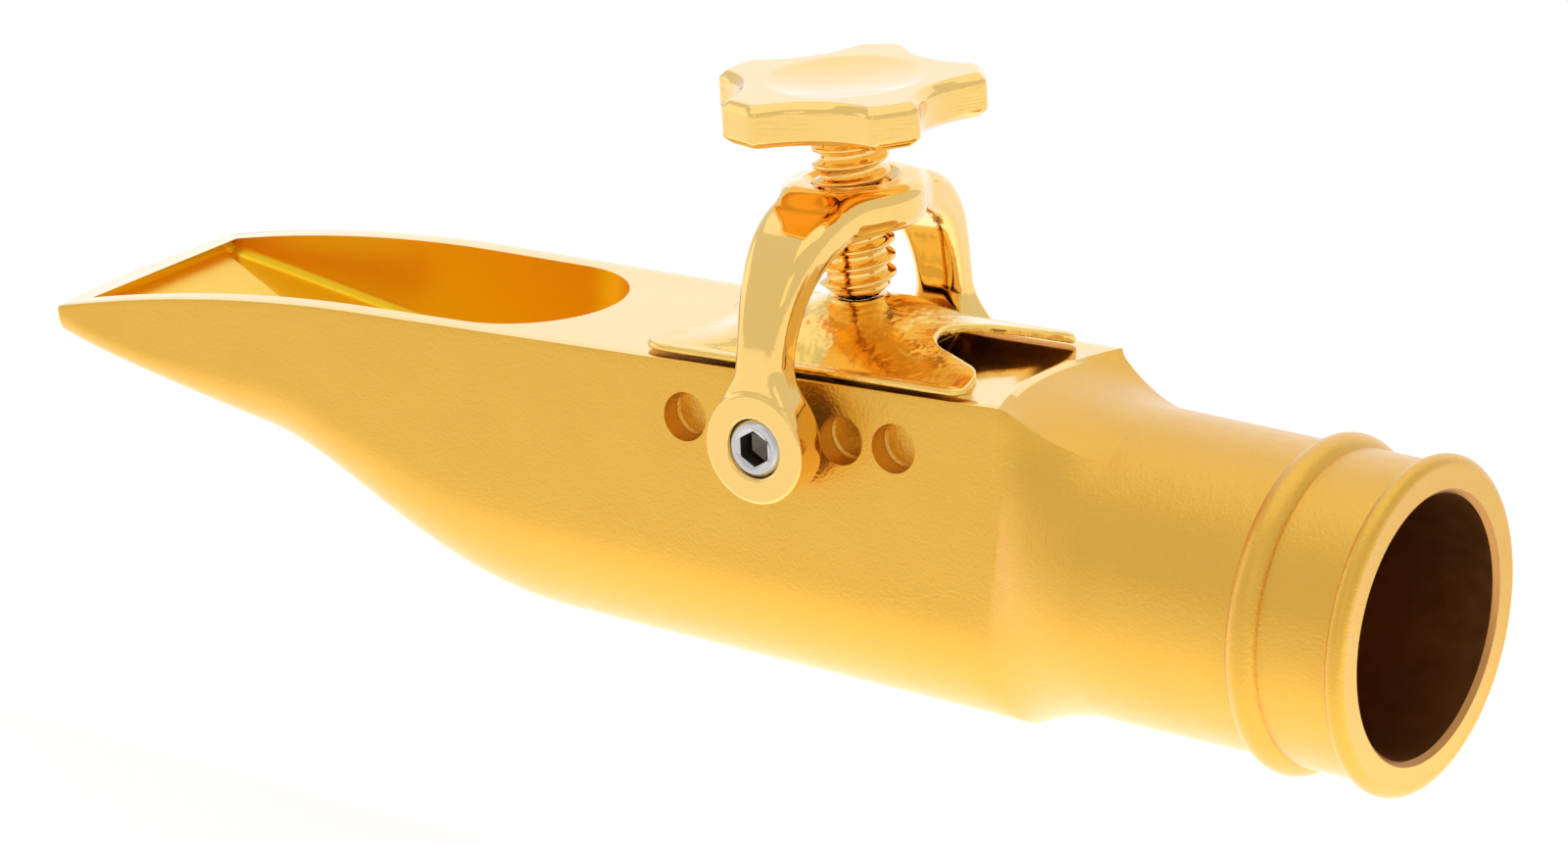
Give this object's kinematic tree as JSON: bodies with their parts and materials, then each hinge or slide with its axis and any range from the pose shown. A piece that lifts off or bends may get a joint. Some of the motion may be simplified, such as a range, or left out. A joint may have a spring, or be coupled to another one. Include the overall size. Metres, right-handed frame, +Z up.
{
  "type": "saxophone mouthpiece with built-in pivoting ligature",
  "caption": "Metal saxophone mouthpiece with a built-in ligature: an arched yoke pivots on the body and a lobed thumb screw presses a plate onto the reed.",
  "frame": {"origin": "centre of the neck bore at the mouth of the shank", "axes": "+X out of the neck bore along its axis, the tip at -X; +Z up, on the side of the reed table; +Y across the table"},
  "size_m": [0.0963, 0.0228, 0.0385],
  "materials": {
    "satin_gold": "gold plated brass, fine bead-blasted satin with a lapped table",
    "polished_gold": "gold plated brass, polished",
    "steel": "bright stainless steel"
  },
  "bodies": {
    "mouthpiece": {"mouthpiece_body": "satin_gold"},
    "yoke": {"yoke": "polished_gold", "pivot_screw_near": "steel", "pivot_screw_far": "steel"},
    "swivel": {"retaining_ring": "steel"},
    "screw": {"thumb_knob": "polished_gold", "clamp_screw": "polished_gold"},
    "plate": {"pressure_plate": "polished_gold"}
  },
  "joints": [
    {"name": "yoke_swing", "type": "hinge", "parent": "mouthpiece", "child": "yoke", "pos_m": [-0.0401, 0, 0.0064], "axis": [0, 1, 0], "range_deg": [-4, 4]},
    {"name": "plate_travel", "type": "slide", "parent": "yoke", "child": "swivel", "axis": [-0.0727, 0, 0.9974], "range_m": [0, 0.00299]},
    {"name": "screw_turn", "type": "hinge", "parent": "swivel", "child": "screw", "pos_m": [-0.04001, 0, 0.01134], "axis": [-0.0727, 0, 0.9974], "range_deg": [0, 1020]},
    {"name": "plate_tilt", "type": "hinge", "parent": "swivel", "child": "plate", "pos_m": [-0.04001, 0, 0.01134], "axis": [0, 1, 0], "range_deg": [-4, 4]}
  ],
  "couplings": [
    {"joint": "screw_turn", "follows": "plate_travel", "rad_per_m": 5938.7},
    {"joint": "plate_tilt", "follows": "yoke_swing", "ratio": -1}
  ]
}
